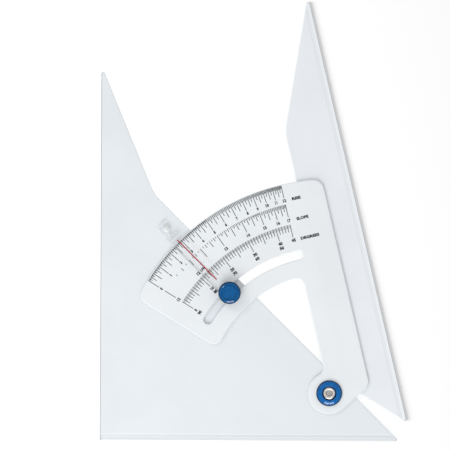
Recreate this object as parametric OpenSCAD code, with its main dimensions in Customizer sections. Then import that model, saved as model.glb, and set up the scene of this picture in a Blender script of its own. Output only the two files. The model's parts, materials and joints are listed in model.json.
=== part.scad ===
// Adjustable set square.
// A 45 degree set square is cut in two, parallel to its long edge. The strip that is cut off
// is the swing arm. A curved scale plate carries the arm round a rivet in the base plate, and
// a knob on the base plate clamps the scale plate through its slot.
// Lengths are in millimetres. The pivot is the centre of the drawing, and the finished model
// is moved so that its origin lies under the middle of its box, on the table.

/* [Pose] */
// Angle that the arm shows on the degree scale
reading = 13.33; // [0:0.01:45]

/* [Plates] */
// Leg of the whole set square, with the arm closed
leg = 254; // [240:1:305]
// Width of the strip that swings as the arm
arm_w = 36.15; // [30:0.05:42]
// Distance from the pivot to the cut between the plates
cut_offset = 10.8; // [10:0.1:13]
// Height of the pivot above the bottom drawing edge
pivot_drop = 32.5; // [26:0.5:40]
// Thickness of the base plate and of the arm
sheet_t = 3; // [2.6:0.1:4]
// Gap that is left between the plates at either stop
stop_gap = 0.15; // [0.1:0.05:0.4]
// Radius of the plates' tips and corners
tip_r = 1.2; // [0.6:0.1:1.8]
// Radius of the blunt elbow in both plates
elbow_r = 26; // [10:1:40]

/* [Drawing edges] */
// Width of the thin ledge at the very edge
ledge_w = 2.4; // [1:0.1:3]
// Width of the slope behind the ledge
slope_w = 1.8; // [0.8:0.1:3]
// Depth of the ledge below the face of the plate
ledge_drop = 0.9; // [0.4:0.1:1.4]

/* [Scale plate] */
// Thickness of the scale plate
scale_t = 2; // [1.6:0.1:3]
// Gap between base plate and scale plate, filled by a film on the arm
slide_gap = 0.15; // [0.1:0.05:0.3]
// Radius of the outer edge
scale_r = 144.8; // [138:0.1:150]
// Distance from the degree scale to the circle on which the lock screw travels
slot_in = 21.2; // [18:0.1:24]
// Distance from that circle to the inner edge
band_in = 14.7; // [9:0.1:18]
// Distance from the pivot to the straight right-hand edge
scale_side = 27.9; // [24:0.1:32]
// Distance from the pivot to the inner edge of the web, to the right
web_in = 0.3; // [-2:0.1:3]
// Length of plate past the zero line
end_margin = 14.2; // [11:0.1:18]
// Radius of the lobe round the pivot
lobe_r = 14.2; // [12:0.1:16]
// Slope of the edge that runs from the lobe to the right-hand edge, in degrees
lobe_slope = 29.5; // [20:0.5:40]
// Radius of the two corners on the outer edge
outer_corner_r = 7.2; // [3:0.1:9]
// Radius of the other corners
inner_corner_r = 6.2; // [3:0.1:8]
// Width of the slot
slot_w = 6.2; // [5.6:0.1:7]
// Length of slot past the screw at either stop
slot_spare = 1; // [0.6:0.1:2]
// Margin between the edges of the arm's film and the plates
film_margin = 1; // [0.5:0.1:2]

/* [Printed scales] */
// Distance from the outer edge to the rise scale
rise_in = 0.6; // [0.3:0.1:1.5]
// Distance from the rise scale to the slope scale
slope_in = 13.2; // [12:0.1:14]
// Distance from the slope scale to the degree scale
degree_in = 14; // [12:0.1:14]
// Width of a printed line
line_w = 0.4; // [0.15:0.05:0.5]
// Thickness of the ink
ink_t = 0.05; // [0.03:0.01:0.1]
// Length of the lines at each whole number and every ten degrees
whole_l = 8.7; // [7.5:0.1:9.5]
// Length of the lines at each half and every five degrees
half_l = 7.2; // [6:0.1:7.4]
// Length of the lines at each quarter and every degree
quarter_l = 4.8; // [3:0.1:5.5]
// Length of the lines at each eighth
eighth_l = 2.5; // [2:0.1:2.9]

/* [Cursor] */
// Width of the clear bridge
cursor_w = 9.4; // [8:0.1:11]
// Thickness of the bridge over the scales
bridge_t = 1.4; // [1:0.1:2]
// Gap between the scale plate and the bridge
bridge_gap = 0.4; // [0.3:0.1:0.8]
// Diameter of the round pad under the knob
pad_d = 13; // [11:0.1:14]
// Gap between the scale plate's outer edge and the cursor's foot
foot_gap = 1.4; // [1:0.1:2.5]
// Length of the foot
foot_l = 15.3; // [13:0.1:17]
// Width of the foot
foot_w = 8; // [7:0.1:9]
// Thickness of the foot
foot_t = 1.8; // [1.4:0.1:2.2]
// Radius of the foot's outer corners
foot_corner_r = 1.6; // [0.5:0.1:3]
// Radius of the foot's corners under the bridge
foot_root_r = 0.3; // [0.1:0.1:0.5]
// Length of each step between bridge and foot
step_l = 2; // [1.5:0.1:2.4]
// Width and height of the lip at the foot's outer end
lip = 0.6; // [0.3:0.1:1]
// Width of the red reading line
hairline_w = 0.65; // [0.3:0.05:0.8]
// Depth of the red reading line in the underside of the bridge
hairline_t = 0.15; // [0.1:0.05:0.3]
// Distance from the foot's outer end to the pin that holds it
pin_back = 5.2; // [4:0.1:6.5]
// Diameter of the pin
pin_d = 3; // [2:0.1:3.5]
// Diameter of the pin's two heads
pin_head_d = 5; // [4.5:0.1:6]

/* [Lock] */
// Diameter of the lock screw
screw_d = 4; // [3:0.1:4.4]
// Diameter of the screw's flat head under the base plate
screw_head_d = 8.6; // [7:0.1:10]
// Thickness of the screw's head
screw_head_t = 1.2; // [0.8:0.1:1.3]
// Width of the square neck that keeps the screw from turning
neck_w = 4.6; // [4.5:0.1:5.5]
// Diameter of the knob
knob_d = 15.3; // [15:0.1:18]
// Height of the knob
knob_h = 6.4; // [5.5:0.1:9]
// Diameter of the disc in the top of the knob
cap_d = 10.4; // [9:0.1:10.8]
// Thickness of the disc
cap_t = 1; // [0.8:0.1:1.4]
// Height of the knob's rim above the disc
rim_up = 0.5; // [0.3:0.1:0.8]
// Radius of the knob's rounded upper edge
knob_round_r = 2.2; // [1:0.1:2.3]
// Radius of the knob's rounded lower edge
knob_foot_r = 0.5; // [0.2:0.1:1]
// Diameter of the threaded insert
insert_d = 7; // [6.4:0.1:8]
// Thickness of plastic between the insert and the disc
insert_web = 0.6; // [0.4:0.1:1]
// Diameter of the washer under the knob
clamp_washer_d = 12; // [9:0.1:12.5]
// Thickness of that washer
clamp_washer_t = 0.8; // [0.5:0.1:1.2]
// Height by which the bush in the slot stays below the cursor
bush_short = 0.1; // [0.05:0.05:0.3]

/* [Hinge] */
// Diameter of the semi-tubular rivet
rivet_d = 6; // [5:0.1:6.5]
// Diameter of the hole in the rivet's upper end
rivet_bore_d = 4.2; // [3:0.1:4.5]
// Depth of that hole
rivet_bore_l = 3.6; // [2:0.1:5]
// Diameter of the rivet's head and of its rolled upper end
rivet_head_d = 8.3; // [7.8:0.1:8.6]
// Thickness of the rivet's head and of its rolled upper end
rivet_head_t = 0.8; // [0.6:0.1:1]
// Diameter of the coloured ring
ring_d = 17.5; // [15:0.1:20]
// Height of the coloured ring
ring_h = 2.5; // [2.3:0.1:3.5]
// Diameter of the recess in the ring
ring_recess_d = 9; // [8.8:0.1:11]
// Thickness of the ring's floor under that recess
ring_floor = 0.8; // [0.6:0.1:1]
// Radius of the ring's rounded upper edge
ring_round_r = 2; // [1:0.1:2.2]
// Diameter of the ring's spigot in the scale plate
spigot_d = 9; // [8:0.1:10]
// Thickness of the spring washer and of the back washer
thin_washer_t = 0.4; // [0.3:0.1:0.5]
// Diameter of the back washer
back_washer_d = 10.5; // [9:0.1:12]
// Diameter of the friction washer
friction_washer_d = 15.6; // [12:0.1:16]
// Depth of the recess for the friction washer
friction_recess = 0.25; // [0.2:0.05:0.4]

/* [Fits] */
// Radial clearance of what turns or slides
run_fit = 0.05; // [0.03:0.01:0.08]
// Radial clearance of what is seated and stays put
seat_fit = 0.02; // [0.01:0.01:0.04]
// Radial clearance of heads and washers in their recesses
recess_play = 0.3; // [0.2:0.05:0.5]
// Depth of screw, pin and rivet heads below the underside
flush_in = 0.3; // [0.2:0.05:0.4]

/* [Hidden] */
$fn = 96;

// Length by which a cutter runs past what it cuts
past = 1;
// Facets in a rounded corner of an outline, and degrees between points of a long arc
corner_steps = 10;
arc_step = 1;
// The scales run from the square position to the closed one
full_reading = 45;
// Polar angle of the cursor's line, and of the zero line on the scale plate
lock_polar = 135;
// Run that the rise and slope scales are worked out for
roof_run = 12;
roof_slope_end = 17;

// Levels, counted from the table
scale_z = sheet_t + slide_gap;
scale_top = scale_z + scale_t;
bridge_z = scale_top + bridge_gap;
bridge_top = bridge_z + bridge_t;
knob_z = bridge_top + clamp_washer_t;
insert_l = knob_h - rim_up - cap_t - insert_web;
screw_top = knob_z + insert_l + insert_web / 2;
head_recess = flush_in + screw_head_t;
rivet_recess = flush_in + rivet_head_t + thin_washer_t;
pin_head_t = head_recess - flush_in;
rivet_head_z = scale_top + ring_floor + thin_washer_t;
foot_top = sheet_t + foot_t;

// Radii that fit each other
rivet_r = rivet_d / 2;
turning_r = rivet_r + run_fit;
screw_r = screw_d / 2;
screw_hole_r = screw_r + run_fit;
bush_r = slot_w / 2 - run_fit;
cap_seat_r = cap_d / 2 + seat_fit;
insert_seat_r = insert_d / 2 + seat_fit;

// Radii of the printed scales, of the slot and of the scale plate's inner edge
rise_r = scale_r - rise_in;
slope_r = rise_r - slope_in;
degree_r = slope_r - degree_in;
slot_r = degree_r - slot_in;
scale_inner_r = slot_r - band_in;

// Places along the cursor's line. The reading line crosses all three scales.
foot_r = scale_r + foot_gap;
foot_end_r = foot_r + foot_l;
pin_r = foot_end_r - pin_back;
hairline_end_r = degree_r - whole_l;
step_count = 3;
step_drop = (bridge_top - foot_top) / step_count;

// Plane geometry
function dir(a) = [cos(a), sin(a)];
function unit(v) = v / norm(v);
function polar(v) = atan2(v.y, v.x);
function turned(p, a) = [p.x * cos(a) - p.y * sin(a), p.x * sin(a) + p.y * cos(a)];
function cross2(u, v) = u.x * v.y - u.y * v.x;
// Point where the line through p along u meets the line through q along v
function meet(p, u, q, v) = p + u * cross2(q - p, v) / cross2(u, v);
// Points of an arc from angle a to angle b
function arc(centre, r, a, b, steps) = [for (i = [0:steps]) centre + r * dir(a + (b - a) * i / steps)];
function long_arc(r, a, b) = arc([0, 0], r, a, b, ceil(abs(b - a) / arc_step));
// Points of the corner at p between its neighbours a and c, rounded to radius r
function rounded(a, p, c, r) =
    let (u = unit(a - p), v = unit(c - p), half = acos(u * v) / 2,
         centre = p + unit(u + v) * r / sin(half),
         start = polar(p + u * r / tan(half) - centre),
         sweep = (180 - 2 * half) * sign(cross2(p - a, c - p)))
    arc(centre, r, start, start + sweep, corner_steps);
function rounded_outline(corners, radii) =
    [for (i = [0:len(corners) - 1])
        let (n = len(corners))
        each rounded(corners[(i + n - 1) % n], corners[i], corners[(i + 1) % n], radii[i])];

// Outlines of the two plates. The arm is drawn with its outer edge upright, as at reading zero.
arm_outer = cut_offset + arm_w;
arm_inner = cut_offset + stop_gap;
elbow_lean = 22.5;
left_x = sqrt(2) * arm_outer + pivot_drop - leg;
base_corner = [left_x, -pivot_drop];
base_tip = [sqrt(2) * cut_offset + pivot_drop, -pivot_drop];
base_apex = base_corner + [0, leg];
base_elbow = meet(base_apex, dir(elbow_lean - 90), base_tip, dir(lock_polar));
base_outline = rounded_outline([base_corner, base_tip, base_elbow, base_apex],
                               [tip_r, tip_r, elbow_r, tip_r]);
arm_apex = turned(base_apex, -full_reading) - [0, stop_gap / sin(elbow_lean)];
arm_elbow = meet(arm_apex, dir(-90 - elbow_lean), [arm_inner, 0], [0, 1]);
arm_tip = [arm_outer, sqrt(2) * arm_inner - arm_outer];
arm_heel = [arm_inner, sqrt(2) * arm_inner - arm_inner];
arm_outline = rounded_outline([arm_tip, arm_apex, arm_elbow, arm_heel],
                              [tip_r, tip_r, elbow_r, tip_r]);

// Middle of the model's box, seen from above
span_points = concat(base_outline, [for (p = arm_outline) turned(p, reading)]);
span_x = [for (p = span_points) p.x];
span_y = [for (p = span_points) p.y];
middle = [(min(span_x) + max(span_x)) / 2, (min(span_y) + max(span_y)) / 2, 0];

// Outline of the scale plate, with the arm at reading zero. Each corner has its centre at a
// known distance from one circle about the pivot and from one straight edge.
end_normal = dir(lock_polar + 90);
zero_line = dir(lock_polar);
top_corner = [scale_side - outer_corner_r,
              sqrt(pow(scale_r - outer_corner_r, 2) - pow(scale_side - outer_corner_r, 2))];
function end_corner(r, from_edge) = end_normal * from_edge + zero_line * sqrt(r * r - from_edge * from_edge);
far_corner = end_corner(scale_r - outer_corner_r, end_margin - outer_corner_r);
near_corner = end_corner(scale_inner_r + inner_corner_r, end_margin - inner_corner_r);
web_corner = [web_in - inner_corner_r,
              sqrt(pow(scale_inner_r - inner_corner_r, 2) - pow(web_in - inner_corner_r, 2))];
neck_corner = [web_in - inner_corner_r,
               sqrt(pow(lobe_r + inner_corner_r, 2) - pow(web_in - inner_corner_r, 2))];
lobe_leave = lobe_r * dir(lobe_slope - 90);
side_foot = meet(lobe_leave, dir(lobe_slope), [scale_side, 0], [0, 1]);
scale_outline = concat(
    rounded(lobe_leave, side_foot, [scale_side, scale_r], inner_corner_r),
    arc(top_corner, outer_corner_r, 0, polar(top_corner), corner_steps),
    long_arc(scale_r, polar(top_corner), polar(far_corner)),
    arc(far_corner, outer_corner_r, polar(far_corner), lock_polar + 90, corner_steps),
    arc(near_corner, inner_corner_r, lock_polar + 90, polar(near_corner) + 180, corner_steps),
    long_arc(scale_inner_r, polar(near_corner), polar(web_corner)),
    arc(web_corner, inner_corner_r, polar(web_corner), 0, corner_steps),
    arc(neck_corner, inner_corner_r, 0, polar(-neck_corner), corner_steps),
    arc([0, 0], lobe_r, polar(neck_corner), 270 + lobe_slope, 4 * corner_steps));
// The slot reaches from the screw's place when closed to its place when square
slot_spare_angle = slot_spare / slot_r * 180 / PI;
slot_start = lock_polar - full_reading - slot_spare_angle;
slot_sweep = full_reading + 2 * slot_spare_angle;

// Moves what is drawn about the pivot to the model's own place
module from_pivot() {
    translate(-middle) children();
}

// As from_pivot, for what turns with the arm
module on_arm() {
    from_pivot() rotate(reading) children();
}

// As from_pivot, for what lies on the cursor's line: x runs outwards along it
module on_cursor_line() {
    from_pivot() rotate(lock_polar) children();
}

// As from_pivot, about the lock screw's axis
module on_lock() {
    on_cursor_line() translate([slot_r, 0, 0]) children();
}

// Disc or bore between two levels
module disc(r, z0, z1) {
    translate([0, 0, z0]) cylinder(r = r, h = z1 - z0);
}

// Flat ring between two levels
module washer(r, hole_r, z0, z1) {
    difference() {
        disc(r, z0, z1);
        disc(hole_r, z0 - past, z1 + past);
    }
}

// Cuts the ledge and slope of a drawing edge. The edge runs from p to q, with the plate on its left.
module drawing_edge_cut(p, q) {
    depth_w = ledge_w + slope_w;
    translate([p.x, p.y, sheet_t])
    rotate(polar(q - p))
    rotate([90, 0, 90])
    translate([0, 0, -past])
    linear_extrude(norm(q - p) + 2 * past)
    polygon([[-past, -ledge_drop], [ledge_w, -ledge_drop], [depth_w, 0],
             [depth_w, past], [-past, past]]);
}

// ---- What stands on the base plate ----

module base_plate() {
    color([0.92, 0.94, 0.957]) difference() {
        from_pivot() linear_extrude(sheet_t) polygon(base_outline);
        from_pivot() drawing_edge_cut(base_corner, base_tip);
        from_pivot() disc(rivet_r + seat_fit, -past, sheet_t + past);
        from_pivot() disc(back_washer_d / 2 + recess_play, -past, rivet_recess);
        from_pivot() disc(friction_washer_d / 2 + recess_play, sheet_t - friction_recess, sheet_t + past);
        on_lock() disc(screw_head_d / 2 + recess_play, -past, head_recess);
        on_lock() neck(neck_w + 2 * seat_fit, 0, sheet_t + past);
        on_cursor_line() translate([pin_r, 0, 0]) {
            disc(pin_d / 2 + seat_fit, -past, sheet_t + past);
            disc(pin_head_d / 2 + recess_play, -past, head_recess);
        }
    }
}

// Square neck of the lock screw, and the hole for it
module neck(w, z0, z1) {
    translate([-w / 2, -w / 2, z0]) cube([w, w, z1 - z0]);
}

module cursor() {
    half_w = cursor_w / 2;
    half_foot = foot_w / 2;
    foot_corners = [[foot_r, -half_foot], [foot_end_r, -half_foot],
                    [foot_end_r, half_foot], [foot_r, half_foot]];
    foot_plan = rounded_outline(foot_corners, [foot_root_r, foot_corner_r, foot_corner_r, foot_root_r]);
    color([0.86, 0.90, 0.93, 0.45]) on_cursor_line() difference() {
        union() {
            translate([slot_r, 0, 0]) disc(pad_d / 2, scale_top, bridge_top);
            translate([slot_r, -half_w, bridge_z]) cube([foot_r - slot_r, cursor_w, bridge_t]);
            // Steps down from the bridge to the foot
            for (i = [0:step_count - 1])
                translate([foot_r, -half_w, sheet_t])
                    cube([(i + 1) * step_l, cursor_w, bridge_top - i * step_drop - sheet_t]);
            translate([0, 0, sheet_t]) linear_extrude(foot_t) polygon(foot_plan);
            translate([foot_end_r - lip, foot_corner_r - half_foot, sheet_t])
                cube([lip, foot_w - 2 * foot_corner_r, foot_t + lip]);
        }
        translate([slot_r, 0, 0]) disc(screw_hole_r, sheet_t, bridge_top + past);
        translate([pin_r, 0, 0]) disc(pin_d / 2 + seat_fit, sheet_t - past, bridge_top);
        hairline_bar(past);
    }
}

// The reading line, and with a positive depth below it the groove that holds it
module hairline_bar(below) {
    translate([hairline_end_r, -hairline_w / 2, bridge_z - below])
        cube([foot_r - hairline_end_r, hairline_w, hairline_t + below]);
}

module cursor_hairline() {
    color([0.80, 0.30, 0.36]) on_cursor_line() hairline_bar(0);
}

// Clear pin with a flat lower head and a domed upper head
module cursor_pin() {
    dome_h = pin_head_t;
    dome_r = (pow(pin_head_d / 2, 2) + dome_h * dome_h) / (2 * dome_h);
    dome_half = asin(pin_head_d / 2 / dome_r);
    dome = arc([0, foot_top + dome_h - dome_r], dome_r, 90 - dome_half, 90, corner_steps);
    color([0.86, 0.90, 0.93, 0.45]) on_cursor_line() translate([pin_r, 0, 0]) {
        disc(pin_head_d / 2, flush_in, head_recess);
        disc(pin_d / 2, head_recess, foot_top);
        rotate_extrude() polygon(concat([[0, foot_top]], dome));
    }
}

module lock_screw() {
    color([0.72, 0.73, 0.74]) on_lock() {
        disc(screw_head_d / 2, flush_in, head_recess);
        neck(neck_w, head_recess, sheet_t);
        disc(screw_r, sheet_t, screw_top);
    }
}

module slot_bush() {
    color([0.85, 0.86, 0.84]) on_lock() washer(bush_r, screw_hole_r, sheet_t, scale_top - bush_short);
}

// Rivet with a solid head below and a hollow upper end that is rolled outwards
module pivot_rivet() {
    bore_r = rivet_bore_d / 2;
    head_r = rivet_head_d / 2;
    roll_r = rivet_head_t / 2;
    lower_z = flush_in + roll_r;
    upper_z = rivet_head_z + roll_r;
    top_z = upper_z + roll_r;
    rim_lower = arc([head_r - roll_r, lower_z], roll_r, -90, 90, corner_steps);
    rim_upper = arc([head_r - roll_r, upper_z], roll_r, -90, 90, corner_steps);
    color([0.70, 0.70, 0.70]) from_pivot() rotate_extrude()
        polygon(concat([[0, flush_in]], rim_lower,
                       [[rivet_r, lower_z + roll_r], [rivet_r, upper_z - roll_r]], rim_upper,
                       [[bore_r, top_z], [bore_r, top_z - rivet_bore_l], [0, top_z - rivet_bore_l]]));
}

module pivot_back_washer() {
    color([0.70, 0.70, 0.70]) from_pivot()
        washer(back_washer_d / 2, rivet_r + seat_fit, rivet_recess - thin_washer_t, rivet_recess);
}

module pivot_friction_washer() {
    color([0.85, 0.86, 0.84]) from_pivot()
        washer(friction_washer_d / 2, rivet_r + seat_fit, sheet_t - friction_recess, scale_z);
}

module pivot_spring_washer() {
    color([0.70, 0.70, 0.70]) from_pivot()
        washer(rivet_head_d / 2 - run_fit, rivet_r + seat_fit, rivet_head_z - thin_washer_t, rivet_head_z);
}

// ---- What turns with the arm ----

module swing_arm() {
    color([0.90, 0.92, 0.933]) on_arm() difference() {
        linear_extrude(sheet_t) polygon(arm_outline);
        drawing_edge_cut(arm_tip, arm_apex);
    }
}

// Film that bonds the arm to the underside of the scale plate
module arm_bond() {
    film_x = arm_inner + film_margin;
    film_end_x = scale_side - film_margin;
    film_y = arm_heel.y + film_margin;
    color([0.93, 0.94, 0.95]) on_arm() translate([film_x, film_y, sheet_t])
        cube([film_end_x - film_x, top_corner.y - film_y, slide_gap]);
}

module scale_plate() {
    color([0.905, 0.925, 0.937]) on_arm() difference() {
        translate([0, 0, scale_z]) linear_extrude(scale_t) polygon(scale_outline);
        disc(spigot_d / 2 + seat_fit, scale_z - past, scale_top + past);
        slot_cut();
    }
}

// Curved slot with round ends
module slot_cut() {
    z0 = scale_z - past;
    cut_h = scale_t + 2 * past;
    rotate(slot_start) rotate_extrude(angle = slot_sweep)
        translate([slot_r - slot_w / 2, z0]) square([slot_w, cut_h]);
    for (a = [slot_start, slot_start + slot_sweep])
        rotate(a) translate([slot_r, 0, z0]) cylinder(r = slot_w / 2, h = cut_h);
}

// Bearing bush with a wide coloured rim that stands on the scale plate
module pivot_ring() {
    recess_r = ring_recess_d / 2;
    outer_r = ring_d / 2;
    top_z = scale_top + ring_h;
    edge = arc([outer_r - ring_round_r, top_z - ring_round_r], ring_round_r, 0, 90, corner_steps);
    color([0.10, 0.39, 0.65]) on_arm() rotate_extrude()
        polygon(concat([[turning_r, scale_z], [spigot_d / 2, scale_z], [spigot_d / 2, scale_top],
                        [outer_r, scale_top]], edge,
                       [[recess_r, top_z], [recess_r, scale_top + ring_floor],
                        [turning_r, scale_top + ring_floor]]));
}

// One printed line, at an angle from the zero line and running inwards from radius r
module mark(angle, r, length) {
    rotate(lock_polar - angle) translate([r - length, -line_w / 2, scale_top])
        cube([length, line_w, ink_t]);
}

// Length of the line at step i of a scale with this many steps to the unit: 8 or 4
function mark_length(i, per_unit) =
    i % per_unit == 0 ? whole_l :
    (2 * i) % per_unit == 0 ? half_l :
    (4 * i) % per_unit == 0 ? quarter_l : eighth_l;
function degree_length(d) = d % 10 == 0 || d == full_reading ? whole_l : d % 5 == 0 ? half_l : quarter_l;

// Rise over a run of twelve, in quarters
module rise_marks() {
    per_unit = 4;
    color([0.25, 0.26, 0.28]) on_arm()
        for (i = [0:roof_run * per_unit])
            mark(atan(i / per_unit / roof_run), rise_r, mark_length(i, per_unit));
}

// Length of the sloping side over a run of twelve, in eighths
module slope_marks() {
    per_unit = 8;
    color([0.25, 0.26, 0.28]) on_arm()
        for (i = [0:(roof_slope_end - roof_run) * per_unit])
            mark(acos(roof_run / (roof_run + i / per_unit)), slope_r, mark_length(i, per_unit));
}

module degree_marks() {
    color([0.25, 0.26, 0.28]) on_arm()
        for (d = [0:full_reading]) mark(d, degree_r, degree_length(d));
}

// ---- What turns and rises on the lock screw ----

module clamp_washer() {
    color([0.72, 0.73, 0.74]) on_lock()
        washer(clamp_washer_d / 2, screw_r + recess_play, bridge_top, knob_z);
}

module lock_knob() {
    knob_r = knob_d / 2;
    top_z = knob_z + knob_h;
    cap_z = top_z - rim_up - cap_t;
    upper_edge = arc([knob_r - knob_round_r, top_z - knob_round_r], knob_round_r, 0, 90, corner_steps);
    lower_edge = arc([knob_r - knob_foot_r, knob_z + knob_foot_r], knob_foot_r, -90, 0, corner_steps);
    color([0.09, 0.37, 0.60]) on_lock() rotate_extrude()
        polygon(concat([[insert_seat_r, knob_z]], lower_edge, upper_edge,
                       [[cap_seat_r, top_z], [cap_seat_r, cap_z],
                        [screw_r + recess_play, cap_z],
                        [screw_r + recess_play, knob_z + insert_l],
                        [insert_seat_r, knob_z + insert_l]]));
}

module knob_cap() {
    top_z = knob_z + knob_h - rim_up;
    color([0.10, 0.39, 0.63]) on_lock() disc(cap_d / 2, top_z - cap_t, top_z);
}

module knob_insert() {
    color([0.78, 0.64, 0.36]) on_lock() washer(insert_d / 2, screw_hole_r, knob_z, knob_z + insert_l);
}

base_plate();
cursor();
cursor_hairline();
cursor_pin();
lock_screw();
slot_bush();
pivot_rivet();
pivot_back_washer();
pivot_friction_washer();
pivot_spring_washer();
swing_arm();
arm_bond();
scale_plate();
pivot_ring();
rise_marks();
slope_marks();
degree_marks();
clamp_washer();
lock_knob();
knob_cap();
knob_insert();
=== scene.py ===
"""Adjustable set square: surfaces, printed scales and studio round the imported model.

Lengths are in metres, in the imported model's own frame: the square lies on the table at z = 0,
+X runs along its bottom drawing edge and +Y up the page towards the two apexes.
"""
import json
import math

import bpy
from mathutils import Matrix, Vector

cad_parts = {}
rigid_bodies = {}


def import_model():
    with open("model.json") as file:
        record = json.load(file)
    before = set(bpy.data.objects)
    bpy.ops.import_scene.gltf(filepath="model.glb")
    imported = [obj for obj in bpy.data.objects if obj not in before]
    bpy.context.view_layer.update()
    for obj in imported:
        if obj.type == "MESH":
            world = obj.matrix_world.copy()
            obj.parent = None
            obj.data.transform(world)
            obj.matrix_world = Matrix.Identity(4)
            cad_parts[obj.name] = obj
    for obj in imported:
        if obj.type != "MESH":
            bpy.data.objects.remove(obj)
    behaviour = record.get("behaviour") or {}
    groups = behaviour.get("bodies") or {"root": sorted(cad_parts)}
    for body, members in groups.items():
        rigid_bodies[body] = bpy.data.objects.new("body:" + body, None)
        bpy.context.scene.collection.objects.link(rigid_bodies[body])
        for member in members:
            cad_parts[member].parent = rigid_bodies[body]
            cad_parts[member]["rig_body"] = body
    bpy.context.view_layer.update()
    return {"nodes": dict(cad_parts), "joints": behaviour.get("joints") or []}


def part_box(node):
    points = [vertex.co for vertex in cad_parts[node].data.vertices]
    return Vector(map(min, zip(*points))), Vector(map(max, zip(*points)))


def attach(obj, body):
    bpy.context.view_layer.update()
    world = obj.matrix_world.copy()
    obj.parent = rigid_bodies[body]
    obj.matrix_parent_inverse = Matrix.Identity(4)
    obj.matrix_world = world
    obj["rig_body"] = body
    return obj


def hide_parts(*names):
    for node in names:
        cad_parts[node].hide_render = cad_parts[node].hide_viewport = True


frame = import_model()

bl_info = {
    "name": "Adjustable set square",
    "version": (1, 0, 0),
    "blender": (4, 5, 0),
    "location": "3D View > Sidebar > Set square",
    "description": "Dresses the packed set square: clear sheets, printed scales, cursor, knob and hinge",
    "category": "Add Mesh",
}

MM = 0.001
# Levels and distances closer than this are the same
TOUCH = 0.01 * MM
# Parts of a unit vector above and below which it lies along an axis, or square to it
ALONG = 0.99
SQUARE = 0.01

# ---- Places that the frame gives ----

JOINTS = {joint["name"]: joint for joint in frame["joints"]}
PIVOT = Vector(JOINTS["arm_swing"]["pos_m"])
LOCK = Vector(JOINTS["knob_turn"]["pos_m"])
# Angle that the arm shows at rest, in degrees, and the direction of the cursor's line
READING = -JOINTS["arm_swing"]["range_deg"][0]
TO_LOCK = (LOCK.xy - PIVOT.xy).normalized()
LOCK_POLAR = math.degrees(math.atan2(TO_LOCK.y, TO_LOCK.x))


def top_of(node):
    """Highest level of a CAD node."""
    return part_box(node)[1].z


def foot_of(node):
    """Lowest level of a CAD node."""
    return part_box(node)[0].z


def radius_of(node):
    """Half the width of a round CAD node."""
    low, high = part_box(node)
    return (high.x - low.x) / 2


def radii_at(node, axis, level):
    """Least and greatest distance from an upright axis of a CAD node's corners at one level."""
    near = [(v.co.xy - axis.xy).length for v in frame["nodes"][node].data.vertices
            if abs(v.co.z - level) < TOUCH]
    return min(near), max(near)


def middle_of(node):
    """Middle of a CAD node's box."""
    low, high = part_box(node)
    return (low + high) / 2


def body_of(node):
    """Name of the body that a CAD node rides on."""
    return frame["nodes"][node]["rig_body"]


def reach_of(node):
    """Greatest distance of a CAD node from the pivot, seen from above."""
    return max((v.co.xy - PIVOT.xy).length for v in frame["nodes"][node].data.vertices)


RISE_R = reach_of("rise_marks")
SLOPE_R = reach_of("slope_marks")
DEGREE_R = reach_of("degree_marks")
PRINT_Z = top_of("scale_plate")
INK_T = top_of("rise_marks") - PRINT_Z
PIN = middle_of("cursor_pin")
# Level just above the ledges of the drawing edges
LEDGE_Z = 2.2 * MM
# Above this level lie the upper edges of the cursor's steps
STEP_FOOT = top_of("cursor_hairline")

# ---- Cursor ----

# Corners of the cursor seen from the pivot, its far end, half its width and the top of its foot
CURSOR_SPOTS = [v.co - PIVOT for v in frame["nodes"]["cursor"].data.vertices]
CURSOR_END = max(spot.xy.dot(TO_LOCK) for spot in CURSOR_SPOTS)
CURSOR_HALF_W = max(abs(spot.xy.cross(TO_LOCK)) for spot in CURSOR_SPOTS
                    if spot.xy.dot(TO_LOCK) > DEGREE_R)
FOOT_TOP = PIVOT.z + max(spot.z for spot in CURSOR_SPOTS
                         if CURSOR_END - 2 * MM < spot.xy.dot(TO_LOCK) < CURSOR_END - 1 * MM)
# Lift of the pad round the lock, in thicknesses of the ink
PAD_LIFT = 1.2
# Ribs on the foot: distance from the pivot, width and length
RIB_W = 0.7 * MM
RIB_H = 0.35 * MM
CURSOR_RIBS = [
    (RISE_R + 4.2 * MM, RIB_W, 7.4 * MM),
    (RISE_R + 6.1 * MM, RIB_W, 7.4 * MM),
    (RISE_R + 7.5 * MM, 0.5 * MM, 4.5 * MM),
    (CURSOR_END - 0.6 * MM, 0.8 * MM, 7.2 * MM),
]

# ---- Scales ----

# Run in inches that the rise and the slope belong to, and the last reading of all three scales
RUN = 12
FULL_READING = 45
# Last whole slope on the scale, counted from the run, and where rise and slope turn coarser
SLOPE_SPAN = 5
FINE_TO = 5
SLOPE_FINE_TO = 15
# Parts of an inch of rise, of an inch of slope and of a degree that have lines of their own
RISE_PARTS = 32
SLOPE_PARTS = 16
DEGREE_PARTS = 4


def rise_reading(rise):
    """Angle in degrees of a rise on the run of twelve."""
    return math.degrees(math.atan(rise / RUN))


def slope_reading(slope):
    """Angle in degrees of a slope length on the run of twelve."""
    return math.degrees(math.acos(RUN / slope))


# ---- Fixed sizes of the pieces ----

# Places that the rounding leaves alone, round the hinge, the lock, the pin and the cursor's pin hole
HINGE_CLEAR = 10.5 * MM
LOCK_CLEAR = 8 * MM
PIN_CLEAR = 4 * MM
PIN_HOLE_CLEAR = 2 * MM
# Knob: draft on its side, dish in the cap and small roundings
KNOB_DRAFT = 0.12 * MM
DISH_R = 4.6 * MM
DISH_DEPTH = 0.35 * MM
KNOB_FOOT_ROUND = 0.5 * MM
KNOB_RIM_ROUND = 0.4 * MM
SEAT_ROUND = 0.12 * MM
CAP_ROUND = 0.2 * MM
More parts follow.
